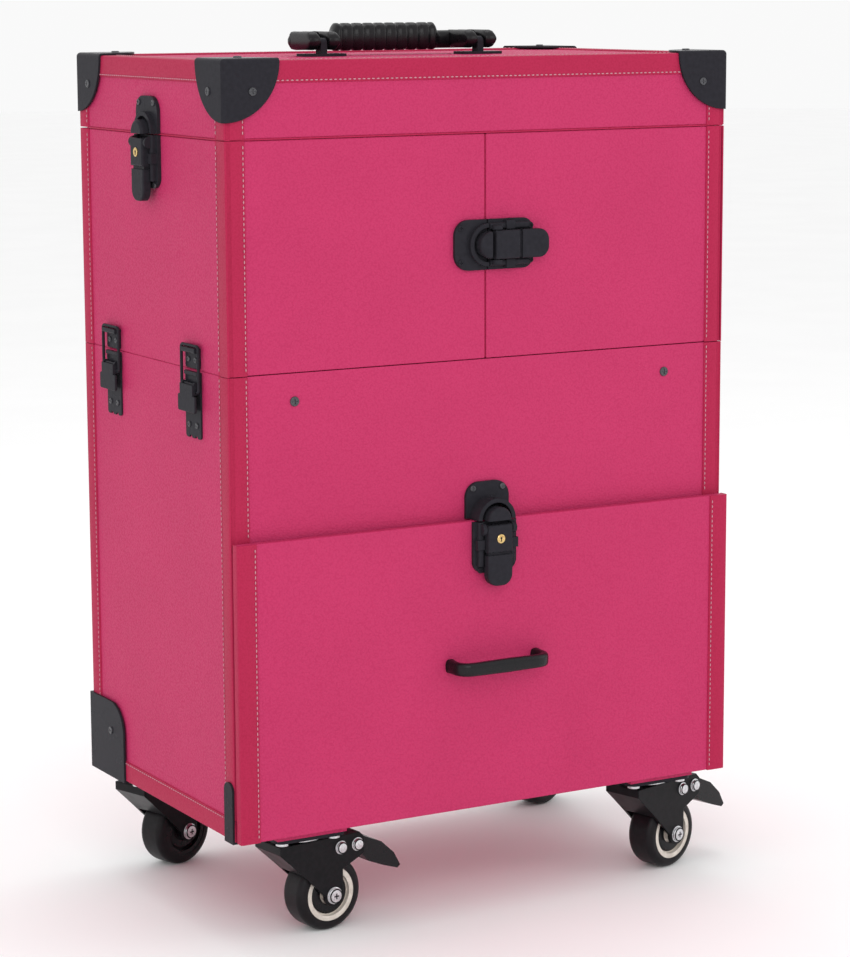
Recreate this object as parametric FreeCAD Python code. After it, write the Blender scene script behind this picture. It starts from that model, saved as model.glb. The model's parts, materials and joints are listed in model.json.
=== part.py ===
import FreeCAD, Part
import math
import os

os.makedirs("parts", exist_ok=True)

# Rolling salon trolley case: a lower cabinet with one deep drawer, an upper cabinet with two
# doors, a hinged lid with a carry handle, and four swivel casters. Millimetres, +Z up.
# While building, X is right, -Y is the front, and x = y = 0 is the middle of the case.
V = FreeCAD.Vector

# ---------------------------------------------------------------- driving dimensions
CASE_W = 400.0             # over the corner bindings
CASE_D = 240.0
LOWER_H = 319.0            # lower cabinet
UPPER_H = 157.0            # upper cabinet, the height of its doors
LID_H = 52.0
DRAWER_FRONT_H = 207.0
DRAWER_PROUD = 10.0        # drawer front beyond the front of the case
DRAWER_GAP = 2.5           # air behind the overlapping drawer front
DRAWER_TRAVEL = 200.0

BOARD_T = 8.0              # covered side, back and shelf boards
BASE_T = 10.0
DOOR_T = 8.0
LID_WALL_T = 6.0
DRAWER_WALL_T = 7.0
FASCIA_SCREW_IN = 50.0     # fixing screws of the shelf, in from the sides
FASCIA_SCREW_DOWN = 19.0
BINDING_T = 1.2            # stitched leather strips over the edges
BINDING_W = 15.0
EDGE_R = 1.0               # softened outer edges of covered boards
SEAM = 1.0                 # gap round the lid and the doors
SWING_GAP = 0.4            # between a door and what it swings past
RUN_GAP = 0.05             # radial play of a pin in its hole
SIDE_GAP = 0.5             # beside a moving lever or link

WHEEL_R = 26.5
WHEEL_TOP_GAP = 22.0       # top of the wheel to the top of the caster's plate
CASTER_H = 2 * WHEEL_R + WHEEL_TOP_GAP
PAD_T = 5.0                # battens between base board and caster plates
WHEEL_W = 23.0
HUB_R = 19.5
AXLE_R = 3.0
TRAIL = 20.0               # wheel axle behind the swivel axis
PLATE_L = 54.0
PLATE_W = 46.0
PLATE_T = 2.5
PLATE_HOLE_X = 40.0
PLATE_HOLE_Y = 32.0
CASTER_INSET_Y = 24.0      # swivel axes in from the front and back of the case
LEFT_INSET_X = 60.0        # and in from its sides, left front, right front and rear
RIGHT_INSET_X = 48.5
REAR_INSET_X = 38.0

SLIDE_H = 35.0             # ball-bearing drawer slides
SLIDE_L = CASE_D - 26.0
SLIDE_T = 12.5
SHEET_T = 1.2

HINGE_LEN = CASE_W - 70.0   # piano hinge of the lid
HINGE_LEAF = 18.0
HINGE_PIN_R = 1.2
KNUCKLE_R = 2.4
KNUCKLES = 11

HANDLE_LEN = 154.0         # carry handle, folded flat
HANDLE_REACH = 26.0        # pivot line to the middle of the grip
HANDLE_AXIS_UP = 9.0
HANDLE_ARM_IN = 12.5       # middle of each arm in from the end
HANDLE_ARM_W = 25.0
HANDLE_EAR_T = 5.0         # post in the middle of each arm
HANDLE_SLOT_DEEP = 10.5    # slot of the arm round its post, past the pivot
HANDLE_PLATE_W = 34.0
GRIP_END_IN = 34.0         # thick grip's ends in from the ends of the handle
HANDLE_PIN_R = 2.0

PULL_W = 78.0              # bow handle of the drawer
PULL_H = 10.0
PULL_OUT = 21.0
PULL_T = 6.0

LATCH_W = 35.0             # lever latches
LATCH_PLATE_T = 2.5
LATCH_CATCH_L = 26.0
LATCH_BASE_L = 37.0
LATCH_LEVER_L = 46.0
LATCH_LEVER_W = 20.0
LATCH_TOP = 11.0
LATCH_PIVOT = (5.5, 6.5)   # back from the seam, out from the wall
LATCH_PIN_R = 1.5
DOOR_LATCH_UP = 0.51       # share of the door's height at which its latch sits

CLASP_W = 27.0             # draw clasps between lower and upper cabinet
CLASP_UP = 18.0            # over the keeper
CLASP_DOWN = 47.0          # tail of the base
CLASP_PIVOT = (-9.5, 3.5)  # up from the seam, out from the wall
CLASP_LINK = 5.0           # pivot to wire loop
CLASP_PIN_R = 1.0
CLASP_LIP = 28.5           # lower edge of the lever plate below the seam
CLASP_BASE_HALF = 12.0
CLASP_OPEN = 100.0         # degrees the clasp lever swings up
WIRE_R = 1.1
CLASP_REAR = 52.0          # clasp centres in from the back
CLASP_FRONT = 55.0         # and in from the front

GUARD_T = 1.6              # corner guards, outside the bindings
GUARD_GAP = 0.3
LID_GUARD_R = 40.5
BASE_GUARD_W = 58.0
BASE_GUARD_H = 56.0
BASE_GUARD_ROUND = 22.0
BASE_SCREW_IN = 36.0
BASE_SCREW_UP = 34.0
FRONT_GUARD_W = 13.0
FRONT_GUARD_H = 41.0
SOLE_W = 8.0               # turned-in foot of the lower guards
SCREW_R = 2.8
SCREW_H = 1.0

# ---------------------------------------------------------------- levels and planes
Z_BASE = CASTER_H + PAD_T
Z_SLAB = Z_BASE + DRAWER_FRONT_H
Z_MID = Z_BASE + LOWER_H
Z_LID = Z_MID + UPPER_H
Z_TOP = Z_LID + LID_H
X_OUT = CASE_W / 2
X_FACE = X_OUT - BINDING_T           # covered face of the side boards
X_IN = X_FACE - BOARD_T
Y_OUT = CASE_D / 2
Y_FACE = Y_OUT - BINDING_T
Y_IN = Y_FACE - BOARD_T
Z_BAY = Z_SLAB - 6.0                 # underside of the shelf over the drawer
Y_DOOR_BACK = -Y_FACE + DOOR_T
Y_UPPER_FRONT = Y_DOOR_BACK + SWING_GAP
Y_SLAB = -Y_OUT - DRAWER_PROUD + BINDING_T
Y_SLAB_BACK = -Y_OUT - DRAWER_GAP
LID_Z0 = Z_LID + SEAM / 2
UPPER_Z1 = Z_LID - SEAM / 2
HINGE_Y = Y_FACE + KNUCKLE_R + 0.6

nodes = {}


# ---------------------------------------------------------------- small helpers
def box(x0, x1, y0, y1, z0, z1):
    return Part.makeBox(x1 - x0, y1 - y0, z1 - z0, V(x0, y0, z0))


def rod(radius, start, end):
    a = V(*start)
    b = V(*end)
    return Part.makeCylinder(radius, (b - a).Length, a, b - a)


def both_sides(shape):
    return [shape, shape.mirror(V(0, 0, 0), V(1, 0, 0))]


def soften(shape, radius, wanted):
    """Round the straight edges for which wanted(midpoint, direction) is true."""
    edges = []
    for edge in shape.Edges:
        if len(edge.Vertexes) != 2:
            continue
        a = edge.Vertexes[0].Point
        b = edge.Vertexes[1].Point
        if wanted((a + b) * 0.5, (b - a).normalize()):
            edges.append(edge)
    return shape.makeFillet(radius, edges) if edges else shape


def soft_board(shape, radius=EDGE_R):
    return soften(shape, radius, lambda mid, way: True)


def plane_prism(points, low, high):
    """Extrude an (x, z) outline from y = low to y = high."""
    ring = [V(x, low, z) for x, z in points]
    return Part.Face(Part.makePolygon(ring + ring[:1])).extrude(V(0, high - low, 0))


def frame(origin, along, out):
    """Placement whose local Y runs along and whose local Z points out of the wall."""
    turn = FreeCAD.Rotation(along.cross(out), along, out, "ZXY")
    return FreeCAD.Placement(V(*origin), turn)


def placed(shape, placement):
    copy = shape.copy()
    copy.Placement = placement.multiply(shape.Placement)
    return copy


def screw_head(placement, across, along, out, radius=SCREW_R):
    head = Part.makeCylinder(radius, SCREW_H, V(across, along, out))
    head = head.makeFillet(SCREW_H * 0.6, [head.Edges[0]])
    slot = Part.makeBox(radius * 1.2, 0.6, SCREW_H, V(across - radius * 0.6, along - 0.3,
                                                      out + SCREW_H * 0.5))
    cross = Part.makeBox(0.6, radius * 1.2, SCREW_H, V(across - 0.3, along - radius * 0.6,
                                                       out + SCREW_H * 0.5))
    return placed(head.cut(slot.fuse(cross)), placement)


def add(name, shapes):
    nodes.setdefault(name, []).extend(shapes if isinstance(shapes, list) else [shapes])


# ---------------------------------------------------------------- lower cabinet
def lower_cabinet():
    side = soft_board(box(-X_FACE, -X_IN, -Y_FACE, Y_FACE, Z_BASE, Z_MID))
    base = box(-X_IN, X_IN, -Y_FACE, Y_FACE, Z_BASE, Z_BASE + BASE_T)
    back = box(-X_IN, X_IN, Y_IN, Y_FACE, Z_BASE + BASE_T, Z_MID)
    shelf = box(-X_IN, X_IN, -Y_IN, Y_IN, Z_BAY, Z_BAY + BOARD_T)
    add("lower_case_boards", both_sides(side) + [base, back, shelf])
    for x, y, angle in caster_places():
        batten = box(x - PLATE_L / 2, x + PLATE_L / 2, y - PLATE_W / 2, y + PLATE_W / 2,
                     CASTER_H, Z_BASE)
        add("lower_case_boards", batten)
    fascia = box(-X_IN, X_IN, -Y_FACE, -Y_IN, Z_BAY, Z_MID)
    add("fascia_panel", fascia)
    outer = frame((0, -Y_FACE, 0), V(0, 0, 1), V(0, -1, 0))
    for x in (-X_OUT + FASCIA_SCREW_IN, X_OUT - FASCIA_SCREW_IN):
        add("case_screws", screw_head(outer, x, Z_MID - FASCIA_SCREW_DOWN, 0.0, 3.4))


def upper_cabinet():
    side = soft_board(box(-X_FACE, -X_IN, Y_UPPER_FRONT, Y_FACE, Z_MID, UPPER_Z1))
    floor = box(-X_IN, X_IN, Y_UPPER_FRONT, Y_FACE, Z_MID, Z_MID + BOARD_T)
    top = box(-X_IN, X_IN, Y_UPPER_FRONT, Y_FACE, UPPER_Z1 - BOARD_T, UPPER_Z1)
    back = box(-X_IN, X_IN, Y_IN, Y_FACE, Z_MID + BOARD_T, UPPER_Z1 - BOARD_T)
    middle = (Z_MID + UPPER_Z1) / 2
    shelf = box(-X_IN, X_IN, Y_UPPER_FRONT + 20.0, Y_IN, middle - 3.0, middle + 3.0)
    add("upper_case_boards", both_sides(side) + [floor, top, back, shelf])


def corner_strip(x_sign, y_sign, front_leg, side_leg, z0, z1):
    """L-shaped leather strip over one upright corner of the case."""
    wrap = box(X_FACE, X_OUT, Y_OUT - side_leg, Y_OUT, z0, z1)
    wrap = wrap.fuse(box(X_OUT - front_leg, X_FACE, Y_FACE, Y_OUT, z0, z1)).removeSplitter()
    if x_sign < 0:
        wrap = wrap.mirror(V(0, 0, 0), V(1, 0, 0))
    if y_sign < 0:
        wrap = wrap.mirror(V(0, 0, 0), V(0, 1, 0))
    return wrap


def case_bindings():
    edge_leg = BINDING_T + BOARD_T
    z_low = Z_BASE + BINDING_W
    for x_sign in (-1, 1):
        add("case_bindings", [
            corner_strip(x_sign, -1, BINDING_W, BINDING_W, Z_BAY, Z_MID),
            corner_strip(x_sign, -1, edge_leg, BINDING_W, z_low, Z_BAY),
            corner_strip(x_sign, 1, BINDING_W, BINDING_W, z_low, Z_MID),
            corner_strip(x_sign, 1, BINDING_W, BINDING_W, Z_MID, UPPER_Z1)])
        side = box(X_FACE, X_OUT, -Y_OUT, -Y_OUT + BINDING_W, Z_MID, UPPER_Z1)
        add("case_bindings", side if x_sign > 0 else side.mirror(V(0, 0, 0), V(1, 0, 0)))
    skirt = box(-X_OUT, X_OUT, -Y_OUT, Y_OUT, Z_BASE, z_low)
    skirt = skirt.cut(box(-X_FACE, X_FACE, -Y_FACE, Y_FACE, Z_BASE, z_low))
    doorway = box(-X_OUT + edge_leg, X_OUT - edge_leg, -Y_OUT, -Y_FACE, Z_BASE, z_low)
    add("case_bindings", skirt.cut(doorway))


# ---------------------------------------------------------------- lid
def lid():
    shell = soft_board(box(-X_FACE, X_FACE, -Y_FACE, Y_FACE, LID_Z0, Z_TOP - BINDING_T))
    inside = box(-X_FACE + LID_WALL_T, X_FACE - LID_WALL_T, -Y_FACE + LID_WALL_T,
                 Y_FACE - LID_WALL_T, LID_Z0, Z_TOP - BINDING_T - LID_WALL_T)
    add("lid_shell", shell.cut(inside))
    strip = box(-X_OUT, X_OUT, -Y_OUT, Y_OUT, LID_Z0, Z_TOP)
    strip = strip.cut(box(-X_FACE, X_FACE, -Y_FACE, Y_FACE, LID_Z0, Z_TOP - BINDING_T))
    x_open = X_OUT - BINDING_W
    y_open = Y_OUT - BINDING_W
    z_open = Z_TOP - BINDING_W
    strip = strip.cut(box(-x_open, x_open, -Y_OUT, Y_OUT, LID_Z0, z_open))
    strip = strip.cut(box(-X_OUT, X_OUT, -y_open, y_open, LID_Z0, z_open))
    strip = strip.cut(box(-x_open, x_open, -y_open, y_open, z_open, Z_TOP))
    add("lid_bindings", strip)


def lid_guards():
    corner = V(X_OUT, Y_OUT, Z_TOP)
    reach = LID_GUARD_R + 5.0
    outer = box(X_OUT - reach, X_OUT + GUARD_T, Y_OUT - reach, Y_OUT + GUARD_T,
                Z_TOP - reach, Z_TOP + GUARD_T)
    rim = X_OUT + GUARD_T
    outer = soften(outer, 3.0, lambda m, w: (abs(m.x - rim) < 0.1) + (abs(m.y - Y_OUT - GUARD_T) < 0.1)
                   + (abs(m.z - Z_TOP - GUARD_T) < 0.1) == 2)
    guard = outer.cut(box(0, X_OUT, 0, Y_OUT, 0, Z_TOP))
    ball = Part.makeSphere(LID_GUARD_R)
    ball.Placement = FreeCAD.Placement(corner, FreeCAD.Rotation(V(1, 1, 0), V(0, 0, 1), V(1, -1, 0), "ZXY"))
    guard = guard.common(ball)
    guard = guard.common(box(0, rim, 0, Y_OUT + GUARD_T, LID_Z0 + GUARD_GAP, Z_TOP + GUARD_T))
    for x_sign, y_sign in ((1, 1), (-1, 1), (1, -1), (-1, -1)):
        copy = guard
        if x_sign < 0:
            copy = copy.mirror(V(0, 0, 0), V(1, 0, 0))
        if y_sign < 0:
            copy = copy.mirror(V(0, 0, 0), V(0, 1, 0))
        add("lid_corner_guards", copy)
        front = frame((x_sign * X_OUT, y_sign * Y_OUT, Z_TOP), V(0, 0, 1), V(0, y_sign, 0))
        side = frame((x_sign * X_OUT, y_sign * Y_OUT, Z_TOP), V(0, 0, 1), V(x_sign, 0, 0))
        top = frame((x_sign * X_OUT, y_sign * Y_OUT, Z_TOP), V(0, y_sign, 0), V(0, 0, 1))
        inward = LID_GUARD_R * 0.5
        add("lid_screws", [
            screw_head(front, x_sign * y_sign * inward, -inward, GUARD_T),
            screw_head(side, -x_sign * y_sign * inward, -inward, GUARD_T),
            screw_head(top, -x_sign * y_sign * inward, -inward, GUARD_T)])


def base_guards():
    """Large guards wrap the rear lower corners, small ones the front lower corners."""
    z1 = Z_BASE + BASE_GUARD_H
    legs = box(X_OUT, X_OUT + GUARD_T, Y_OUT - BASE_GUARD_W, Y_OUT + GUARD_T, Z_BASE - GUARD_T, z1)
    legs = soften(legs, BASE_GUARD_ROUND, lambda m, w: abs(m.z - z1) < 0.1 and abs(m.y - Y_OUT + BASE_GUARD_W) < 0.1)
    rear = box(X_OUT - BASE_GUARD_W, X_OUT + GUARD_T, Y_OUT, Y_OUT + GUARD_T, Z_BASE - GUARD_T, z1)
    rear = soften(rear, BASE_GUARD_ROUND, lambda m, w: abs(m.z - z1) < 0.1 and abs(m.x - X_OUT + BASE_GUARD_W) < 0.1)
    sole = box(X_OUT - SOLE_W, X_OUT, Y_OUT - BASE_GUARD_W, Y_OUT, Z_BASE - GUARD_T, Z_BASE)
    guard = legs.fuse(rear).fuse(sole).removeSplitter()
    for x_sign in (1, -1):
        copy = guard if x_sign > 0 else guard.mirror(V(0, 0, 0), V(1, 0, 0))
        add("base_corner_guards", copy)
        side = frame((x_sign * X_OUT, Y_OUT, Z_BASE), V(0, 0, 1), V(x_sign, 0, 0))
        back = frame((x_sign * X_OUT, Y_OUT, Z_BASE), V(0, 0, 1), V(0, 1, 0))
        add("case_screws", [
            screw_head(side, -x_sign * BASE_SCREW_IN, BASE_SCREW_UP, GUARD_T),
            screw_head(back, x_sign * BASE_SCREW_IN, BASE_SCREW_UP, GUARD_T)])
    z1 = Z_BASE + FRONT_GUARD_H
    leg = box(X_OUT, X_OUT + GUARD_T, -Y_OUT, -Y_OUT + FRONT_GUARD_W, Z_BASE - GUARD_T, z1)
    leg = soften(leg, 6.0, lambda m, w: abs(m.z - z1) < 0.1 and abs(w.x) > 0.9)
    sole = box(X_OUT - SOLE_W, X_OUT, -Y_OUT, -Y_OUT + FRONT_GUARD_W, Z_BASE - GUARD_T, Z_BASE)
    add("base_corner_guards", both_sides(leg.fuse(sole).removeSplitter()))


# ---------------------------------------------------------------- lid hinge
def knuckle_spans():
    step = HINGE_LEN / KNUCKLES
    return [(-HINGE_LEN / 2 + i * step, -HINGE_LEN / 2 + (i + 1) * step) for i in range(KNUCKLES)]


def hinge_leaf(up, own):
    """One leaf of the piano hinge, cut away round the other leaf's knuckles."""
    z0, z1 = sorted((Z_LID, Z_LID + up * HINGE_LEAF))
    leaf = box(-HINGE_LEN / 2, HINGE_LEN / 2, Y_FACE, Y_FACE + 1.0, z0, z1)
    for index, (x0, x1) in enumerate(knuckle_spans()):
        if index % 2 == own:
            leaf = leaf.fuse(rod(KNUCKLE_R, (x0 + 0.2, HINGE_Y, Z_LID), (x1 - 0.2, HINGE_Y, Z_LID)))
    for index, (x0, x1) in enumerate(knuckle_spans()):
        if index % 2 != own:
            room = rod(KNUCKLE_R + 0.5, (x0 - 0.2, HINGE_Y, Z_LID), (x1 + 0.2, HINGE_Y, Z_LID))
            leaf = leaf.cut(room)
    shy = box(-HINGE_LEN, HINGE_LEN, Y_FACE - 1, Y_FACE + 0.62, Z_LID - up * 0.5 - 0.5,
              Z_LID - up * 0.5 + 0.5)
    leaf = leaf.cut(shy)
    return leaf.cut(rod(HINGE_PIN_R + RUN_GAP, (-HINGE_LEN, HINGE_Y, Z_LID), (HINGE_LEN, HINGE_Y, Z_LID)))


def lid_hinge():
    pin = rod(HINGE_PIN_R, (-HINGE_LEN / 2, HINGE_Y, Z_LID), (HINGE_LEN / 2, HINGE_Y, Z_LID))
    add("lid_hinge_case_leaf", [hinge_leaf(-1, 0), pin])
    add("lid_hinge_lid_leaf", hinge_leaf(1, 1))


# ---------------------------------------------------------------- carry handle
def carry_handle():
    axis_z = Z_TOP - BINDING_T + HANDLE_AXIS_UP
    plate_z = Z_TOP - BINDING_T
    end = HANDLE_LEN / 2
    pivot_y = 0.0
    grip_y = pivot_y + HANDLE_REACH
    grip = box(-end + GRIP_END_IN, end - GRIP_END_IN, grip_y - 8.0, grip_y + 8.0, axis_z - 6.0, axis_z + 14.0)
    grip = soft_board(grip, 5.0)
    bar = soft_board(box(-end, end, grip_y - 6.0, grip_y + 6.0, axis_z - 5.0, axis_z + 8.0), 4.0)
    handle = grip.fuse(bar)
    for index in range(9):
        x = (index - 4) * 9.0
        handle = handle.cut(rod(2.6, (x, grip_y - 9.4, axis_z - 8.0), (x, grip_y - 9.4, axis_z + 15.0)))
    for x_sign in (-1, 1):
        x_arm = x_sign * (end - HANDLE_ARM_IN)
        x0, x1 = x_arm - HANDLE_ARM_W / 2, x_arm + HANDLE_ARM_W / 2
        arm = box(x0, x1, pivot_y, grip_y, axis_z - 4.5, axis_z + 4.5)
        barrel = rod(4.5, (x0, pivot_y, axis_z), (x1, pivot_y, axis_z))
        hole = rod(HANDLE_PIN_R + RUN_GAP, (x0 - 1, pivot_y, axis_z), (x1 + 1, pivot_y, axis_z))
        handle = handle.fuse(arm).fuse(barrel).cut(hole)
        slot = HANDLE_EAR_T / 2 + SIDE_GAP
        handle = handle.cut(box(x_arm - slot, x_arm + slot, pivot_y - 6.0, pivot_y + HANDLE_SLOT_DEEP,
                                axis_z - 6.0, axis_z + 6.0))
        plate = soften(box(x_arm - HANDLE_PLATE_W / 2, x_arm + HANDLE_PLATE_W / 2, pivot_y - 9.0, pivot_y + 9.0,
                           plate_z, plate_z + 2.0), 4.0, lambda m, w: abs(w.z) > 0.9)
        ear_0, ear_1 = x_arm - HANDLE_EAR_T / 2, x_arm + HANDLE_EAR_T / 2
        plate = plate.fuse(rod(4.0, (ear_0, pivot_y, axis_z), (ear_1, pivot_y, axis_z)))
        plate = plate.fuse(box(ear_0, ear_1, pivot_y - 4.0, pivot_y + 4.0, plate_z, axis_z))
        pin = rod(HANDLE_PIN_R, (x0 + 1.0, pivot_y, axis_z), (x1 - 1.0, pivot_y, axis_z))
        add("handle_plates", plate.fuse(pin).removeSplitter())
    add("carry_handle", handle.removeSplitter())
    return pivot_y, axis_z


# ---------------------------------------------------------------- doors
def doors():
    z0 = Z_MID + SEAM / 2
    x_hinge_side = X_FACE - SWING_GAP
    panel = soft_board(box(-x_hinge_side, -SEAM / 2, -Y_FACE, Y_DOOR_BACK, z0, UPPER_Z1))
    strip = box(-x_hinge_side, -X_OUT + BINDING_W, -Y_OUT, -Y_FACE, z0, UPPER_Z1)
    for side, shapes in (("left", (panel, strip)),
                         ("right", [s.mirror(V(0, 0, 0), V(1, 0, 0)) for s in (panel, strip)])):
        add("door_%s_panel" % side, shapes[0])
        add("door_%s_binding" % side, shapes[1])


# ---------------------------------------------------------------- lever latches
def latch_plate(along_0, along_1, far_radius):
    plate = box(-LATCH_W / 2, LATCH_W / 2, along_0, along_1, 0, LATCH_PLATE_T)
    far = along_1 if along_1 > 0 else along_0
    return soften(plate, far_radius, lambda m, w: abs(w.z) > 0.9 and abs(m.y - far) < 0.1)


def latch_catch(step):
    """Catch plate with its arch and D-shaped nose; step lifts them over a stepped front."""
    near = SEAM / 2
    plate = latch_plate(near, LATCH_CATCH_L, 11.0)
    arch = Part.makeCylinder(15.0, 6.0 + step, V(0, near, 0)).cut(
        Part.makeCylinder(12.0, 6.0 + step, V(0, near, 0)))
    nose = Part.makeCylinder(9.5, LATCH_TOP + step, V(0, near, 0))
    nose = nose.makeFillet(2.0, [nose.Edges[0]])
    half = box(-20, 20, near, 40, 0, 40)
    return plate.fuse(arch.common(half)).fuse(nose.common(half)).removeSplitter()


def latch_base():
    near = -SEAM / 2
    back, out = LATCH_PIVOT
    plate = latch_plate(-LATCH_BASE_L, near, 8.0)
    inner = LATCH_LEVER_W / 2 + SIDE_GAP
    for sign in (-1, 1):
        x0, x1 = sorted((sign * inner, sign * 15.0))
        arm = soften(box(x0, x1, -32.0, near, 0, 6.0), 1.5,
                     lambda m, w: abs(m.z - 6.0) < 0.1 and abs(w.y) > 0.9)
        ear = rod(4.0, (sign * inner, -back, out), (sign * (inner + 3.0), -back, out))
        tab_x0, tab_x1 = sorted((sign * inner, sign * 16.5))
        tab = box(tab_x0, tab_x1, -20.0, -13.0, 0, 7.0)
        plate = plate.fuse(arm).fuse(ear).fuse(tab)
    pin = rod(LATCH_PIN_R, (-inner - 2.0, -back, out), (inner + 2.0, -back, out))
    return plate.fuse(pin).removeSplitter()


def latch_lever():
    back, out = LATCH_PIVOT
    half = LATCH_LEVER_W / 2
    low = LATCH_PLATE_T + 0.8
    square = box(-half, half, -22.0, -back + 3.0, low, LATCH_TOP)
    square = square.cut(box(-half, half, -back, 0, 0, out))
    square = soften(square, 1.5, lambda m, w: abs(m.z - LATCH_TOP) < 0.1)
    nose = rod(out - low, (-half, -back, out), (half, -back, out))
    neck = box(-half + 1.0, half - 1.0, -27.0, -21.0, low + 1.0, LATCH_TOP - 2.0)
    tail = box(-half, half, -LATCH_LEVER_L, -24.0, low + 1.5, LATCH_TOP - 0.5)
    tail = soften(tail, 8.0, lambda m, w: abs(w.z) > 0.9 and m.y < -LATCH_LEVER_L + 1)
    tail = soften(tail, 1.2, lambda m, w: abs(m.z - LATCH_TOP + 0.5) < 0.1 and abs(w.x) < 0.1)
    lever = square.fuse(nose).fuse(neck).fuse(tail)
    hole = rod(LATCH_PIN_R + RUN_GAP, (-half, -back, out), (half, -back, out))
    return lever.cut(hole).removeSplitter()


def latch_screws(placement, along):
    return [screw_head(placement, sign * 12.0, along, LATCH_PLATE_T, 2.2) for sign in (-1, 1)]


def latches():
    for side, x_sign in (("left", -1), ("right", 1)):
        spot = frame((x_sign * X_FACE, 0, Z_LID), V(0, 0, 1), V(x_sign, 0, 0))
        add("lid_latch_catches", placed(latch_catch(0.0), spot))
        add("lid_screws", latch_screws(spot, 21.5))
        add("lid_latch_bases", placed(latch_base(), spot))
        add("case_screws", latch_screws(spot, -35.0))
        add("lid_latch_lever_%s" % side, placed(latch_lever(), spot))
    door_spot = frame((0, -Y_FACE, Z_MID + UPPER_H * DOOR_LATCH_UP), V(-1, 0, 0), V(0, -1, 0))
    add("door_latch_catch", [placed(latch_catch(0.0), door_spot)] + latch_screws(door_spot, 21.5))
    add("door_latch_base", [placed(latch_base(), door_spot)] + latch_screws(door_spot, -35.0))
    add("door_latch_lever", placed(latch_lever(), door_spot))
    fascia_spot = frame((0, -Y_FACE, Z_SLAB), V(0, 0, 1), V(0, -1, 0))
    drawer_spot = frame((0, Y_SLAB, Z_SLAB), V(0, 0, 1), V(0, -1, 0))
    step = -Y_FACE - Y_SLAB
    add("drawer_latch_catch", placed(latch_catch(step), fascia_spot))
    add("case_screws", latch_screws(fascia_spot, 21.5))
    add("drawer_latch_base", [placed(latch_base(), drawer_spot)] + latch_screws(drawer_spot, -35.0))
    add("drawer_latch_lever", placed(latch_lever(), drawer_spot))


# ---------------------------------------------------------------- draw clasps
def clasp_base():
    up, out = CLASP_PIVOT
    plate = box(-CLASP_BASE_HALF, CLASP_BASE_HALF, -CLASP_DOWN, -SEAM, 0, SHEET_T)
    plate = soften(plate, 2.5, lambda m, w: abs(w.z) > 0.9 and m.y < -CLASP_DOWN + 1)
    for x in (-4.5, 4.5):
        plate = plate.cut(Part.makeCylinder(2.4, 4, V(x, -CLASP_DOWN - 0.6, -1)))
    plate = plate.fuse(box(-10.0, 10.0, -SEAM - 2.5, -SEAM, 0, out - 0.5))
    for sign in (-1, 1):
        x0, x1 = sorted((sign * 7.0, sign * 8.2))
        ear = box(x0, x1, up - 1.2, up + 1.2, 0, out).fuse(rod(1.2, (x0, up, out), (x1, up, out)))
        plate = plate.fuse(ear)
    return plate.fuse(rod(CLASP_PIN_R, (-9.9, up, out), (9.9, up, out))).removeSplitter()


def clasp_keeper():
    top = CLASP_UP - 2 * WIRE_R - 0.3
    plate = box(-11.0, 11.0, SEAM, top, 0, SHEET_T)
    plate = soften(plate, 2.0, lambda m, w: abs(w.z) > 0.9 and m.y < SEAM + 1)
    boss = box(-11.0, 11.0, top - 3.5, top, 0, 5.2)
    boss = soften(boss, 1.4, lambda m, w: abs(m.z - 5.2) < 0.1 and m.y < top - 1 and abs(w.x) > 0.9)
    return plate.fuse(boss).removeSplitter()


def clasp_lever():
    up, out = CLASP_PIVOT
    link_up = up - CLASP_LINK
    tongue = box(-10.0, 10.0, link_up - 3.0, up, out + 1.5, out + 3.0)
    lip = box(-CLASP_W / 2, CLASP_W / 2, -CLASP_LIP, link_up - 2.4, out + 1.5, out + 3.0)
    lip = soften(lip, 1.5, lambda m, w: abs(w.z) > 0.9)
    lip = soften(lip, 0.6, lambda m, w: abs(m.z - out - 3.0) < 0.05)
    lever = tongue.fuse(lip)
    for sign in (-1, 1):
        x0, x1 = sorted((sign * 8.6, sign * 10.0))
        lug = box(x0, x1, link_up - 2.0, up, out - 1.9, out + 1.5)
        lug = lug.fuse(rod(1.9, (x0, up, out), (x1, up, out)))
        lever = lever.fuse(lug)
    lever = lever.cut(rod(CLASP_PIN_R + RUN_GAP, (-11, up, out), (11, up, out)))
    return lever.cut(rod(WIRE_R + RUN_GAP, (-11, link_up, out - 0.4), (11, link_up, out - 0.4))).removeSplitter()


def clasp_loop():
    up, out = CLASP_PIVOT
    low = up - CLASP_LINK
    high = CLASP_UP - WIRE_R
    depth = out - 0.4
    side = 13.4
    bend = 2.5
    points = [V(8.8, low, depth), V(side - bend, low, depth), V(side, low + bend, depth),
              V(side, high - bend, depth), V(side - bend, high, depth)]
    edges = [Part.makeLine(points[0], points[1]),
             Part.Arc(points[1], V(side - bend + bend * math.sin(math.pi / 4),
                                   low + bend - bend * math.cos(math.pi / 4), depth), points[2]).toShape(),
             Part.makeLine(points[2], points[3]),
             Part.Arc(points[3], V(side - bend + bend * math.sin(math.pi / 4),
                                   high - bend + bend * math.cos(math.pi / 4), depth), points[4]).toShape(),
             Part.makeLine(points[4], V(-points[4].x, high, depth))]
    left = [e.mirror(V(0, 0, 0), V(1, 0, 0)) for e in edges[:4]]
    path = Part.Wire(Part.__sortEdges__(edges + left))
    ring = Part.Wire(Part.makeCircle(WIRE_R, points[0], V(1, 0, 0)))
    return path.makePipeShell([ring], True, False)


def clasp_places():
    for name, y in (("rear", Y_OUT - CLASP_REAR), ("front", -Y_OUT + CLASP_FRONT)):
        for side, x_sign in (("left", -1), ("right", 1)):
            yield "%s_%s" % (name, side), frame((x_sign * X_FACE, y, Z_MID), V(0, 0, 1),
                                                V(x_sign, 0, 0))


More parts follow.
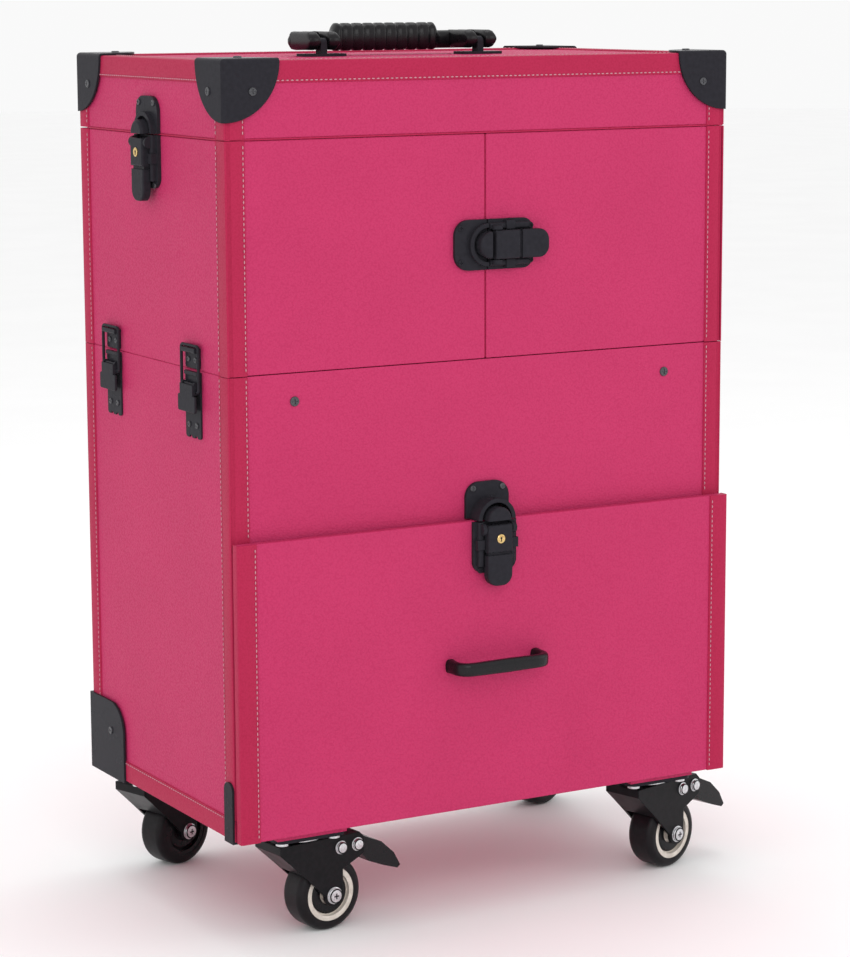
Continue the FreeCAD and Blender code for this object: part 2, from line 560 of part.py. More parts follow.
def clasps():
    for label, spot in clasp_places():
        add("clasp_plates", [placed(clasp_base(), spot), placed(clasp_keeper(), spot)])
        add("clasp_lever_" + label, placed(clasp_lever(), spot))
        add("clasp_loop_" + label, placed(clasp_loop(), spot))
        for across, along in ((-5.5, 7.0), (5.5, 7.0), (-6.0, -38.0), (6.0, -38.0)):
            add("case_screws", screw_head(spot, across, along, SHEET_T, 2.0))


# ---------------------------------------------------------------- drawer and slides
def channel(x_web, x_open, half, y0, y1, z):
    """Sheet-metal channel: web at x_web, flanges reaching to x_open."""
    toward = 1 if x_open > x_web else -1
    x0, x1 = sorted((x_web, x_open))
    whole = box(x0, x1, y0, y1, z - half, z + half)
    a, b = sorted((x_web + toward * SHEET_T, x_open))
    room = box(a - (0 if toward > 0 else 1), b + (1 if toward > 0 else 0), y0, y1,
               z - half + SHEET_T, z + half - SHEET_T)
    return whole.cut(room)


def drawer():
    half = X_IN - SLIDE_T
    z0 = Z_BASE + BASE_T + 4.0
    z1 = Z_BAY - 10.0
    back = Y_IN - 4.0
    slide_z = (z0 + z1) / 2
    y0 = -Y_FACE + 4.0
    y1 = y0 + SLIDE_L
    outer = channel(-X_IN, -X_IN + 11.0, SLIDE_H / 2, y0, y1, slide_z)
    middle = channel(-X_IN + 4.5, -X_IN + 11.0, SLIDE_H / 2 - SHEET_T - 0.6, y0, y1, slide_z)
    inner = channel(-X_IN + SLIDE_T, -X_IN + 6.4, SLIDE_H / 2 - 2 * SHEET_T - 1.4, y0, y1, slide_z)
    add("slide_outer_members", both_sides(outer))
    add("slide_middle_members", both_sides(middle))
    add("slide_inner_members", both_sides(inner))
    tub = box(-half, half, Y_SLAB_BACK, back, z0, z1)
    tub = tub.cut(box(-half + DRAWER_WALL_T, half - DRAWER_WALL_T, Y_SLAB_BACK + DRAWER_WALL_T,
                      back - DRAWER_WALL_T, z0 + DRAWER_WALL_T, z1))
    add("drawer_box", tub)
    slab = soft_board(box(-X_FACE, X_FACE, Y_SLAB, Y_SLAB_BACK, Z_BASE, Z_SLAB))
    add("drawer_front", slab)
    wrap = box(X_FACE, X_OUT, Y_SLAB - BINDING_T, Y_SLAB_BACK, Z_BASE, Z_SLAB)
    wrap = wrap.fuse(box(X_OUT - BINDING_W, X_FACE, Y_SLAB - BINDING_T, Y_SLAB, Z_BASE, Z_SLAB))
    add("drawer_front_bindings", both_sides(wrap.removeSplitter()))
    drawer_pull()


def drawer_pull():
    z = Z_BASE + DRAWER_FRONT_H / 2 + 2.0
    bow = box(-PULL_W / 2, PULL_W / 2, Y_SLAB - PULL_OUT, Y_SLAB, z - PULL_H / 2, z + PULL_H / 2)
    bow = soften(bow, 10.0, lambda m, w: abs(w.z) > 0.9 and m.y < Y_SLAB - 1)
    reach = PULL_W / 2 - PULL_T
    gap = box(-reach, reach, Y_SLAB - PULL_OUT + PULL_T, Y_SLAB + 1, z - PULL_H, z + PULL_H)
    gap = soften(gap, 6.0, lambda m, w: abs(w.z) > 0.9 and m.y < Y_SLAB - 1)
    add("drawer_pull", bow.cut(gap))


# ---------------------------------------------------------------- casters
def caster_places():
    """Swivel axis and turn of each caster: front left, front right, rear left, rear right."""
    y = Y_OUT - CASTER_INSET_Y
    rear = X_OUT - REAR_INSET_X
    return ((LEFT_INSET_X - X_OUT, -y, 7.0), (X_OUT - RIGHT_INSET_X, -y, 16.0),
            (-rear, y, 18.0), (rear, y, 20.0))


WEB_TOP = -PLATE_T - 3.6        # underside of the ball race
WEB_LOW = WEB_TOP - 3.5
AXLE_Z = WHEEL_R - CASTER_H
PEDAL_X = 40.0
STOP_X = PEDAL_X - 14.0         # bolt that stops the pedal
PEDAL_Z = WEB_LOW - 5.0
HOOD = 25.0                     # fork's hood ahead of the swivel axis
CHEEK = 2.6
FORK_HALF = WHEEL_W / 2 + 1.8 + CHEEK


def caster_plate():
    plate = box(-PLATE_L / 2, PLATE_L / 2, -PLATE_W / 2, PLATE_W / 2, -PLATE_T, 0)
    plate = soften(plate, 6.0, lambda m, w: abs(w.z) > 0.9)
    for x in (-PLATE_HOLE_X / 2, PLATE_HOLE_X / 2):
        for y in (-PLATE_HOLE_Y / 2, PLATE_HOLE_Y / 2):
            plate = plate.cut(Part.makeCylinder(3.2, 10, V(x, y, -5)))
    race = Part.makeCylinder(16.0, 3.2, V(0, 0, -PLATE_T - 3.2))
    pin = Part.makeCylinder(4.0, 12.0, V(0, 0, -PLATE_T - 11.0))
    head = Part.makeCylinder(7.0, 2.0, V(0, 0, WEB_LOW - 2.4))
    pin = pin.common(box(-9, 9, -9, 9, WEB_LOW - 2.0, 0))
    return plate.fuse(race).fuse(pin).fuse(head).removeSplitter()


def caster_fork():
    """Pressed fork: hood and cheeks from one side profile, hollowed for the wheel."""
    right = PEDAL_X + 6.0
    profile = [(-HOOD, WEB_TOP), (right - 4.0, WEB_TOP), (right, WEB_TOP - 4.0), (right, -22.0),
               (TRAIL + 7.5, AXLE_Z + 18.0), (TRAIL + 7.5, AXLE_Z), (TRAIL - 7.5, AXLE_Z),
               (TRAIL - 16.0, AXLE_Z + 9.0), (-9.0, -27.0), (-HOOD, WEB_TOP - 6.0)]
    body = plane_prism(profile, -FORK_HALF, FORK_HALF)
    body = body.fuse(rod(8.0, (TRAIL, -FORK_HALF, AXLE_Z), (TRAIL, FORK_HALF, AXLE_Z)))
    inside = FORK_HALF - CHEEK
    hollow = [(-HOOD + 5.0, WEB_LOW), (right + 1.0, WEB_LOW), (right + 1.0, AXLE_Z - 20.0),
              (TRAIL - 20.0, AXLE_Z - 20.0), (-6.0, -23.5), (-HOOD + 5.0, WEB_LOW - 1.0)]
    body = body.cut(plane_prism(hollow, -inside, inside))
    body = body.cut(rod(WHEEL_R + 2.5, (TRAIL, -inside, AXLE_Z), (TRAIL, inside, AXLE_Z)))
    body = body.cut(Part.makeCylinder(4.0 + RUN_GAP, 20, V(0, 0, WEB_LOW - 5)))
    holes = [(TRAIL, AXLE_Z, AXLE_R), (PEDAL_X, PEDAL_Z, 2.5), (STOP_X, PEDAL_Z, 2.5)]
    for x, z, radius in holes:
        body = body.cut(rod(radius, (x, -40, z), (x, 40, z)))
    return body.removeSplitter()


def cross_bolt(x, z, radius, head_r):
    """Bolt across the fork with a domed head at each end."""
    bolt = rod(radius, (x, -FORK_HALF, z), (x, FORK_HALF, z))
    for sign in (-1, 1):
        head = rod(head_r, (x, sign * FORK_HALF, z), (x, sign * (FORK_HALF + 2.6), z))
        bolt = bolt.fuse(head)
    return bolt.removeSplitter()


def caster_tyre():
    half = WHEEL_W / 2
    tyre = rod(WHEEL_R, (TRAIL, -half, AXLE_Z), (TRAIL, half, AXLE_Z))
    tyre = tyre.makeFillet(5.0, [e for e in tyre.Edges if len(e.Vertexes) == 1])
    return tyre.cut(rod(HUB_R, (TRAIL, -half, AXLE_Z), (TRAIL, half, AXLE_Z)))


def caster_hub():
    half = WHEEL_W / 2 - 0.4
    hub = rod(HUB_R, (TRAIL, -half, AXLE_Z), (TRAIL, half, AXLE_Z))
    for sign in (-1, 1):
        y0, y1 = sorted((sign * (half - 3.0), sign * (half + 1)))
        dish = rod(HUB_R - 3.5, (TRAIL, y0, AXLE_Z), (TRAIL, y1, AXLE_Z))
        hub = hub.cut(dish)
        y0, y1 = sorted((sign * (half - 3.0), sign * (half + 1.2)))
        hub = hub.fuse(rod(6.0, (TRAIL, y0, AXLE_Z), (TRAIL, y1, AXLE_Z)))
    return hub.cut(rod(AXLE_R + RUN_GAP, (TRAIL, -40, AXLE_Z), (TRAIL, 40, AXLE_Z))).removeSplitter()


def brake_pedal():
    half = FORK_HALF - CHEEK - SIDE_GAP
    outline = [(PEDAL_X - 1.0, PEDAL_Z + 3.6), (PEDAL_X + 9.0, PEDAL_Z + 3.2),
               (PEDAL_X + 23.0, PEDAL_Z - 3.0), (PEDAL_X + 34.0, PEDAL_Z - 13.0),
               (PEDAL_X + 39.5, PEDAL_Z - 23.0), (PEDAL_X + 37.0, PEDAL_Z - 25.0),
               (PEDAL_X + 24.0, PEDAL_Z - 20.5), (PEDAL_X + 11.0, PEDAL_Z - 15.0),
               (PEDAL_X + 4.0, PEDAL_Z - 6.0), (PEDAL_X, PEDAL_Z - 3.6)]
    pedal = plane_prism(outline, -half, half)
    pedal = pedal.fuse(rod(3.8, (PEDAL_X, -half, PEDAL_Z), (PEDAL_X, half, PEDAL_Z)))
    return pedal.cut(rod(2.5 + RUN_GAP, (PEDAL_X, -40, PEDAL_Z), (PEDAL_X, 40, PEDAL_Z))).removeSplitter()


def casters():
    names = ("front_left", "front_right", "rear_left", "rear_right")
    for name, (x, y, angle) in zip(names, caster_places()):
        fixed = FreeCAD.Placement(V(x, y, CASTER_H), FreeCAD.Rotation())
        turned = FreeCAD.Placement(V(x, y, CASTER_H), FreeCAD.Rotation(V(0, 0, 1), angle))
        add("caster_plates", placed(caster_plate(), fixed))
        for dx in (-PLATE_HOLE_X / 2, PLATE_HOLE_X / 2):
            for dy in (-PLATE_HOLE_Y / 2, PLATE_HOLE_Y / 2):
                head = Part.makeCylinder(4.6, 2.4, V(x + dx, y + dy, CASTER_H - PLATE_T - 2.4))
                shank = Part.makeCylinder(3.0, PLATE_T, V(x + dx, y + dy, CASTER_H - PLATE_T))
                add("caster_bolts", head.fuse(shank).removeSplitter())
        bolts = [cross_bolt(TRAIL, AXLE_Z, AXLE_R, 5.2), cross_bolt(PEDAL_X, PEDAL_Z, 2.5, 4.0),
                 cross_bolt(STOP_X, PEDAL_Z, 2.5, 4.0)]
        add("caster_fork_" + name, [placed(s, turned) for s in [caster_fork()] + bolts])
        add("caster_tyre_" + name, placed(caster_tyre(), turned))
        add("caster_hub_" + name, placed(caster_hub(), turned))
        if name.startswith("front"):
            add("brake_pedal_" + name, placed(brake_pedal(), turned))


# ---------------------------------------------------------------- build and write
lower_cabinet()
upper_cabinet()
case_bindings()
lid()
lid_guards()
base_guards()
lid_hinge()
HANDLE_PIVOT = carry_handle()
doors()
latches()
clasps()
drawer()
casters()

# The origin is on the floor under the middle of everything at rest.
whole = Part.makeCompound([s for group in nodes.values() for s in group]).optimalBoundingBox(False, False)
CENTRE = V(round((whole.XMin + whole.XMax) / 2, 2), round((whole.YMin + whole.YMax) / 2, 2), 0)

for name, group in nodes.items():
    shape = Part.makeCompound(group)
    shape.translate(CENTRE * -1)
    shape.exportStep("parts/%s.step" % name)
print(len(nodes), "nodes, origin at", CENTRE)
print("size", round(whole.XLength, 1), round(whole.YLength, 1), round(whole.ZLength, 1))
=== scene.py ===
# %% [markdown]
# This lesson dresses a rolling salon case: a lidded top, a cabinet with two doors, one deep
# drawer below, and four swivel casters. The solid model already holds every board, latch and
# wheel in its true place. Here the leather gets its grain and stitching, the metal gets its
# finish, and the soft or cast shapes that a solid model draws too plainly are made again.

# %% Load the model
import json
import math
import bpy
import bmesh
from mathutils import Matrix, Vector


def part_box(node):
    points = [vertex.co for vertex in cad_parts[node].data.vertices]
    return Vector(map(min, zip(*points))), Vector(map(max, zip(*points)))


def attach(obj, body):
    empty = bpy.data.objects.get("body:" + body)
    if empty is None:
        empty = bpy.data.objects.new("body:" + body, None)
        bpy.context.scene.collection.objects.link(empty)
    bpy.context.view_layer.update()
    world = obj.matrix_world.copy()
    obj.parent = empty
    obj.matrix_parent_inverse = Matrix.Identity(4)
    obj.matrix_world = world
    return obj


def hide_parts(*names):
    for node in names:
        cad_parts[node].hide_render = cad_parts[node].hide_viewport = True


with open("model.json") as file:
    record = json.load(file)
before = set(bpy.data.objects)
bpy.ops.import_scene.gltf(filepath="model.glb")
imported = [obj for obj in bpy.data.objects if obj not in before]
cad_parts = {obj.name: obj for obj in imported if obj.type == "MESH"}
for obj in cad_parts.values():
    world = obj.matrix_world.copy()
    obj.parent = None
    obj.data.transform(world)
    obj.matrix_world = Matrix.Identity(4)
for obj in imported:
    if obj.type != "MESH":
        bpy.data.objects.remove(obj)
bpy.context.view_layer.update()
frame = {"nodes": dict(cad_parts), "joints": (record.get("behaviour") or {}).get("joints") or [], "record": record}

# %% [markdown]
# A maker measures from a few flat faces. The side boards and the fascia give four of them,
# so every later piece can be placed from the case itself and follows it if it changes size.

# %% Faces to measure from
MM = 0.001
case_low, case_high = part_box("lower_case_boards")
face_left, face_right, face_back = case_low.x, case_high.x, case_high.y
face_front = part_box("fascia_panel")[0].y
middle = Vector(((face_left + face_right) / 2, (face_front + face_back) / 2, 0))
strip_low, strip_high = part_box("case_bindings")
strip_thick = strip_high.x - face_right
base_z = strip_low.z
seam_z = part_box("upper_case_boards")[0].z
lid_low, lid_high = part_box("lid_bindings")
print("case is", round((face_right - face_left) * 1000), "mm wide, strips",
      round(strip_thick * 1000, 2), "mm thick")

# %% [markdown]
# The camera stands far off to the front left, a little above the lid, with a long lens, as a
# product picture is taken. Its three axes are built by hand so that the small roll is exact.

# %% Camera
yaw, tilt, roll = math.radians(-29.65), math.radians(9.52), math.radians(-0.24)
back = Vector((math.sin(yaw) * math.cos(tilt), -math.cos(yaw) * math.cos(tilt), math.sin(tilt)))
right = Vector((math.cos(yaw), math.sin(yaw), 0))
up = back.cross(right)
level_right = right.copy()
right, up = (right * math.cos(roll) + up * math.sin(roll),
             up * math.cos(roll) - right * math.sin(roll))
camera = bpy.data.objects.new("camera", bpy.data.cameras.new("camera"))
bpy.context.scene.collection.objects.link(camera)
bpy.context.scene.camera = camera
camera.data.lens = 110.1
camera.data.clip_end = 30
place = middle + level_right * 0.0162 + Vector((0, 0, base_z + 0.2172)) + back * 2.161
camera.matrix_world = Matrix((right, up, back)).transposed().to_4x4()
camera.matrix_world.translation = place
print("camera at", place)

# %% [markdown]
# A plain pale floor carries the case, though it isn't part of it. It is a large disc, so no
# edge of it shows.

# %% Floor
def add_mesh(name, build):
    """Make an object whose mesh is filled by build(bmesh)."""
    mesh = bpy.data.meshes.new(name)
    shape = bmesh.new()
    build(shape)
    shape.to_mesh(mesh)
    shape.free()
    obj = bpy.data.objects.new(name, mesh)
    bpy.context.scene.collection.objects.link(obj)
    return obj


floor = add_mesh("floor", lambda b: bmesh.ops.create_circle(b, cap_ends=True, segments=96, radius=14))

# %% [markdown]
# Soft studio light: a bright even surround, one wide panel from the front left as the key, a
# weaker one from the right, and a strip above for the lid. Wide panels give the leather its
# soft sheen and put long highlights on the black metal.

# %% Lights
world = bpy.data.worlds.new("surround")
bpy.context.scene.world = world
world.use_nodes = True
world.node_tree.nodes["Background"].inputs["Color"].default_value = (1.0, 1.0, 1.0, 1)
world.node_tree.nodes["Background"].inputs["Strength"].default_value = 0.95


def add_panel(name, spot, aim, size, power):
    light = bpy.data.lights.new(name, "AREA")
    light.shape = "RECTANGLE"
    light.size, light.size_y = size
    light.energy = power
    obj = bpy.data.objects.new(name, light)
    bpy.context.scene.collection.objects.link(obj)
    obj.location = spot
    obj.rotation_euler = (Vector(aim) - Vector(spot)).to_track_quat("-Z", "Y").to_euler()


add_panel("key_panel", (-1.1, -2.6, 1.7), (0, 0, 0.3), (1.6, 1.6), 17)
add_panel("fill_panel", (2.2, -1.6, 1.1), (0, 0, 0.3), (1.4, 1.4), 6)
add_panel("side_panel", (-2.6, -0.2, 0.9), (0, 0, 0.3), (1.4, 1.6), 3)
add_panel("top_panel", (0.2, 0.5, 2.4), (0, 0, 0.6), (1.6, 1.0), 8)
bpy.context.scene.view_settings.view_transform = "Standard"

# %% [markdown]
# Every finish is one Principled shader with textures on its colour, roughness and normal. A
# few short helpers keep each finish readable. Textures use object coordinates in metres, so
# a grain has its real size and stays on its piece when the lid, a door or the drawer moves.

# %% Helpers for finishes
def new_finish(name, rough, metal=0.0, specular=0.5):
    material = bpy.data.materials.new(name)
    material.use_nodes = True
    shader = material.node_tree.nodes["Principled BSDF"]
    shader.inputs["Metallic"].default_value = metal
    shader.inputs["Specular IOR Level"].default_value = specular
    shader.inputs["Roughness"].default_value = rough
    return material, shader


def add_node(material, kind, **inputs):
    node = material.node_tree.nodes.new("ShaderNode" + kind)
    for name, value in inputs.items():
        socket = node.inputs[name.replace("_", " ")]
        if isinstance(value, bpy.types.NodeSocket):
            material.node_tree.links.new(value, socket)
        else:
            socket.default_value = value
    return node


def add_cloud(material, size, detail=3.0, warp=0.0):
    """Noise whose blotches are about size metres across."""
    where = add_node(material, "TexCoord").outputs["Object"]
    return add_node(material, "TexNoise", Vector=where, Scale=1 / size, Detail=detail,
                    Distortion=warp).outputs["Fac"]


def add_ramp(material, value, stops):
    """Colour by value: stops are (position, colour)."""
    ramp = add_node(material, "ValToRGB", Fac=value)
    points = ramp.color_ramp.elements
    while len(points) < len(stops):
        points.new(0.5)
    for point, (position, colour) in zip(points, stops):
        point.position = position
        point.color = (*colour, 1)
    return ramp.outputs["Color"]


def add_range(material, value, low, high, start=0.0, stop=1.0):
    """Value carried from start..stop to low..high."""
    return add_node(material, "MapRange", Value=value, From_Min=start, From_Max=stop,
                    To_Min=low, To_Max=high).outputs["Result"]


def add_bump(material, height, depth, under=None):
    """Raise the surface by depth metres where height is 1."""
    bump = add_node(material, "Bump", Height=height, Distance=depth, Strength=1.0)
    if under is not None:
        material.node_tree.links.new(under, bump.inputs["Normal"])
    return bump.outputs["Normal"]


def wire(material, shader, **sockets):
    for name, value in sockets.items():
        material.node_tree.links.new(value, shader.inputs[name.replace("_", " ")])


# %% [markdown]
# The boards are covered in coated fabric pressed with a pebbled grain. A Voronoi pattern
# gives the pebbles, and a little noise in its coordinates keeps them from looking like tiles.
# The valleys are darker and duller than the pebbles, and slow clouds vary the whole sheet.

# %% Pebbled leather
def pebbled_leather(name, light, dark, pebble=1.5 * MM, depth=0.20 * MM, rough=(0.43, 0.58)):
    material, shader = new_finish(name, 0.5, specular=0.12)
    where = add_node(material, "TexCoord").outputs["Object"]
    wander = add_node(material, "TexNoise", Vector=where, Scale=1 / (pebble * 2.2), Detail=2.0)
    shift = add_node(material, "VectorMath", Vector=wander.outputs["Color"])
    shift.operation = "SCALE"
    shift.inputs["Scale"].default_value = pebble * 0.9
    moved = add_node(material, "VectorMath")
    material.node_tree.links.new(where, moved.inputs[0])
    material.node_tree.links.new(shift.outputs["Vector"], moved.inputs[1])
    pebbles = add_node(material, "TexVoronoi", Vector=moved.outputs["Vector"], Scale=1 / pebble)
    pebbles.feature = "SMOOTH_F1"
    pebbles.inputs["Smoothness"].default_value = 0.35
    height = add_range(material, pebbles.outputs["Distance"], 1.0, 0.0, 0.1, 0.75)
    fine = add_cloud(material, 0.5 * MM, 2.0)
    sheet = add_bump(material, add_cloud(material, 45 * MM, 2.0), 0.5 * MM)
    skin = add_bump(material, fine, 0.03 * MM, sheet)
    colour = add_ramp(material, height, [(0.0, dark), (0.55, light)])
    clouds = add_ramp(material, add_cloud(material, 70 * MM, 4.0, 0.4),
                      [(0.3, (0.95, 0.94, 0.94)), (0.7, (1.0, 1.0, 1.0))])
    tinted = add_node(material, "Mix")
    tinted.data_type, tinted.blend_type = "RGBA", "MULTIPLY"
    tinted.inputs["Factor"].default_value = 1.0
    material.node_tree.links.new(colour, tinted.inputs[6])
    material.node_tree.links.new(clouds, tinted.inputs[7])
    wire(material, shader, Base_Color=tinted.outputs[2], Normal=add_bump(material, height, depth, skin),
         Roughness=add_range(material, height, rough[1], rough[0]))
    return material


pink_leather = pebbled_leather("pink_leather", (0.525, 0.036, 0.127), (0.485, 0.030, 0.113))
strip_leather = pebbled_leather("strip_leather", (0.430, 0.019, 0.072), (0.395, 0.016, 0.063),
                                pebble=1.3 * MM, depth=0.05 * MM, rough=(0.44, 0.54))
print("leather finishes ready")

# %% [markdown]
# The thread is pale and matt, the floor pale and plain. Both still get a little variation.

# %% Thread and floor
def speckled(name, light, dark, grain, rough, depth=0.0, metal=0.0, specular=0.5, spread=0.05, edge=0.0):
    """A plain surface with fine speckle, slight gloss changes, a little relief and softened edges."""
    material, shader = new_finish(name, rough, metal, specular)
    cloud = add_cloud(material, grain, 3.0)
    wire(material, shader, Base_Color=add_ramp(material, cloud, [(0.35, dark), (0.65, light)]),
         Roughness=add_range(material, add_cloud(material, grain * 6, 3.0), rough - spread,
                             rough + spread, 0.3, 0.7))
    soft = add_node(material, "Bevel", Radius=edge).outputs["Normal"] if edge else None
    if depth:
        wire(material, shader, Normal=add_bump(material, cloud, depth, soft))
    return material


thread = speckled("pale_thread", (0.62, 0.28, 0.34), (0.46, 0.18, 0.23), 0.4 * MM, 0.75, 0.08 * MM)
floor.data.materials.append(speckled("pale_floor", (0.99, 0.99, 0.99), (0.975, 0.975, 0.975), 0.2, 0.8,
                                     specular=0.1))

# %% [markdown]
# Hardware finishes: pressed black metal with a satin coat, moulded black plastic, bright
# zinc, brass for the key barrels, tyre rubber, and a cream moulded hub. The forks of the
# casters have a darker coat than the guards, and dark cloth lines the inside.

# %% Hardware finishes
black_metal = speckled("black_metal", (0.026, 0.025, 0.031), (0.022, 0.021, 0.026), 3 * MM, 0.26,
                       0.01 * MM, specular=0.035, spread=0.05, edge=0.6 * MM)
black_plastic = speckled("black_plastic", (0.008, 0.007, 0.009), (0.004, 0.004, 0.005), 0.8 * MM, 0.30,
                         0.03 * MM, specular=0.26, spread=0.06)
zinc = speckled("zinc_steel", (0.72, 0.72, 0.74), (0.52, 0.52, 0.54), 1.5 * MM, 0.30, 0.01 * MM, 1.0)
brass = speckled("brass", (0.80, 0.58, 0.26), (0.62, 0.42, 0.16), 1.0 * MM, 0.28, 0.01 * MM, 1.0)
dark_screw = speckled("dark_screw", (0.10, 0.10, 0.11), (0.05, 0.05, 0.055), 1.0 * MM, 0.32, 0.02 * MM, 0.6)
rubber = speckled("tyre_rubber", (0.009, 0.007, 0.009), (0.005, 0.004, 0.005), 4 * MM, 0.42,
                  0.05 * MM, specular=0.2)
fork_metal = speckled("fork_metal", (0.009, 0.008, 0.010), (0.005, 0.005, 0.006), 3 * MM, 0.34,
                      0.02 * MM, specular=0.14, spread=0.06, edge=0.8 * MM)
cream = speckled("cream_hub", (0.72, 0.66, 0.59), (0.58, 0.52, 0.46), 5 * MM, 0.42, 0.02 * MM)
cloth = speckled("dark_lining", (0.045, 0.040, 0.045), (0.018, 0.016, 0.019), 0.7 * MM, 0.92, 0.12 * MM)

# %% [markdown]
# The solid model names a finish for each of its pieces. This table turns those names into
# the finishes above, so boards, plates, levers and wheels are all dressed in one go.

# %% Dress the solid model
finish_of_slot = {"pink_leather": pink_leather, "pink_binding": strip_leather, "drawer_board": cloth,
                  "black_metal": black_metal, "black_plastic": black_plastic, "zinc_steel": zinc,
                  "dark_screw": dark_screw, "tyre_rubber": rubber, "cream_hub": cream}
for part in frame["record"]["subparts"]:
    slots = frame["nodes"][part["node"]].material_slots
    for holder in slots:
        holder.material = finish_of_slot[part["material_slot"]]
for name, node in frame["nodes"].items():
    for holder in node.material_slots:
        if name.startswith("caster_fork") and holder.material == black_metal:
            holder.material = fork_metal

# %% [markdown]
# Leather strips are glued over the corners and sewn down along their free edges. Each strip
# is drawn as a cross-section and drawn out along its edge. The section has a soft free edge,
# a shallow furrow under the stitches, and on a fold a deep crease where the leather bends.

# %% Cross-sections of the strips
def leg_section(length, crease):
    """One leg, from the corner outwards: (distance along the face, depth below the surface)."""
    t = strip_thick / MM
    points = []
    if crease:
        points += [(1.0, 0.25), (1.5, 0.75 * t), (2.6, 0.88 * t), (3.6, 0.70 * t), (4.3, 0.12), (5.0, 0.0)]
    else:
        points += [(2.2, 0.0)]
    if length > 9:
        points += [(length - 2.6, 0.0), (length - 1.9, 0.30), (length - 1.3, 0.34), (length - 0.8, 0.10)]
    points += [(length - 0.35, 0.25), (length, 0.75), (length, t)]
    return points


def corner_section(leg_a, leg_b, crease_a=False, crease_b=False):
    """Closed L-shaped section; a runs along the first face and b along the second."""
    t = strip_thick / MM
    a = leg_section(leg_a, crease_a)
    b = leg_section(leg_b, crease_b)
    turn = [(1.0, 0.14), (0.4, 0.4), (0.14, 1.0)]
    if crease_a or crease_b:
        turn = [(0.75, 0.12), (0.25, 0.42), (0.12, 0.75)]
    return [(u, v) for u, v in reversed(a)] + turn + [(v, u) for u, v in b] + [(t, t)]


def flat_section(length):
    """Closed section of a flat strip with both edges soft."""
    t = strip_thick / MM
    return [(0.0, t), (0.0, 0.5), (0.4, 0.0)] + [(u, v) for u, v in leg_section(length, False)[1:]]


# %% [markdown]
# A section becomes a strip when it is repeated along a line and the rings are joined. The
# rings are a centimetre apart and wander by a tenth of a millimetre, as hand-glued leather
# does, so highlights along the strip are never ruler straight.

# %% Draw a section out into a strip
def drawn_strip(build, section, corner, along_a, along_b, start, stop):
    """Section at an outer corner, its legs along two faces, drawn out from start to stop."""
    way = Vector(stop) - Vector(start)
    rings = max(2, int(way.length / 0.012) + 1)
    rows = []
    for ring in range(rings):
        share = ring / (rings - 1)
        wave = math.sin(ring * 1.7 + corner.x * 90) * math.sin(ring * 0.61 + corner.z * 70)
        row = []
        for u, v in section:
            on_face = max(u, v) > 5 and min(u, v) < 0.6
            lift = 0.09 * wave if on_face and u + v < 40 else 0.0
            u2, v2 = (u, max(v + lift, 0.0)) if u > v else (max(u + lift, 0.0), v)
            spot = corner + along_a * (u2 * MM) + along_b * (v2 * MM)
            row.append(build.verts.new(spot + Vector(start) + way * share))
        rows.append(row)
    count = len(section)
    for low_row, high_row in zip(rows, rows[1:]):
        for index in range(count):
            after = (index + 1) % count
            build.faces.new((low_row[index], low_row[after], high_row[after], high_row[index]))
    build.faces.new(rows[0][::-1])
    build.faces.new(rows[-1])


# %% [markdown]
# A stitch is a short length of thread, fat in the middle and diving into the leather at both
# ends. Thousands of them are needed, so each is only three rings of six points.

# %% Stitches
stitch_pitch, stitch_length, stitch_thick = 3.6 * MM, 2.5 * MM, 0.42 * MM


def sewn_line(build, start, stop, out):
    """A row of stitches from start to stop on a surface whose outward direction is out."""
    start, stop, out = Vector(start), Vector(stop), Vector(out)
    way = (stop - start).normalized()
    side = out.cross(way)
    count = int((stop - start).length / stitch_pitch)
    slack = ((stop - start).length - count * stitch_pitch) / 2
    for index in range(count):
        middle_at = start + way * (slack + (index + 0.5) * stitch_pitch)
        rings = []
        for along, radius in ((-0.36, 0.62), (0.0, 1.0), (0.36, 0.62)):
            centre = middle_at + way * (along * stitch_length) + out * (0.10 * MM * (1 - 8 * along * along))
            rings.append([build.verts.new(centre + (side * math.cos(a) * 1.15 + out * math.sin(a) * 0.8)
                                          * (stitch_thick * radius))
                          for a in [k * math.pi / 3 for k in range(6)]])
        tips = [build.verts.new(middle_at + way * (s * 0.5 * stitch_length) - out * (0.25 * MM))
                for s in (-1, 1)]
        for low_ring, high_ring in zip(rings, rings[1:]):
            for k in range(6):
                build.faces.new((low_ring[k], low_ring[(k + 1) % 6], high_ring[(k + 1) % 6], high_ring[k]))
        for k in range(6):
            build.faces.new((tips[0], rings[0][(k + 1) % 6], rings[0][k]))
            build.faces.new((tips[1], rings[2][k], rings[2][(k + 1) % 6]))
    return count


def finish_piece(obj, body, material, smooth_angle=35, replaces=()):
    """Shade, dress and attach a new piece."""
    obj.data.materials.append(material)
    mesh_tidy = bmesh.new()
    mesh_tidy.from_mesh(obj.data)
    bmesh.ops.recalc_face_normals(mesh_tidy, faces=mesh_tidy.faces)
    mesh_tidy.to_mesh(obj.data)
    mesh_tidy.free()
    obj.data.shade_smooth()
    obj.data.set_sharp_from_angle(angle=math.radians(smooth_angle))
    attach(obj, body)
    if replaces:
        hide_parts(*replaces)
    return obj


# %% [markdown]
# The case's own strips: creased strips down the two front corners, where the doors fold back
# on the leather, plain ones down the rear corners, and a skirt round the bottom.

# %% Strips of the case
X, Y, Z = Vector((1, 0, 0)), Vector((0, 1, 0)), Vector((0, 0, 1))
out_left, out_right = face_left - strip_thick, face_right + strip_thick
out_front, out_back = face_front - strip_thick, face_back + strip_thick
shelf_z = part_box("fascia_panel")[0].z
skirt_z = base_z + 15 * MM
upper_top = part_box("upper_case_boards")[1].z
sew_in = 13.4 * MM
board_leg = 9.2


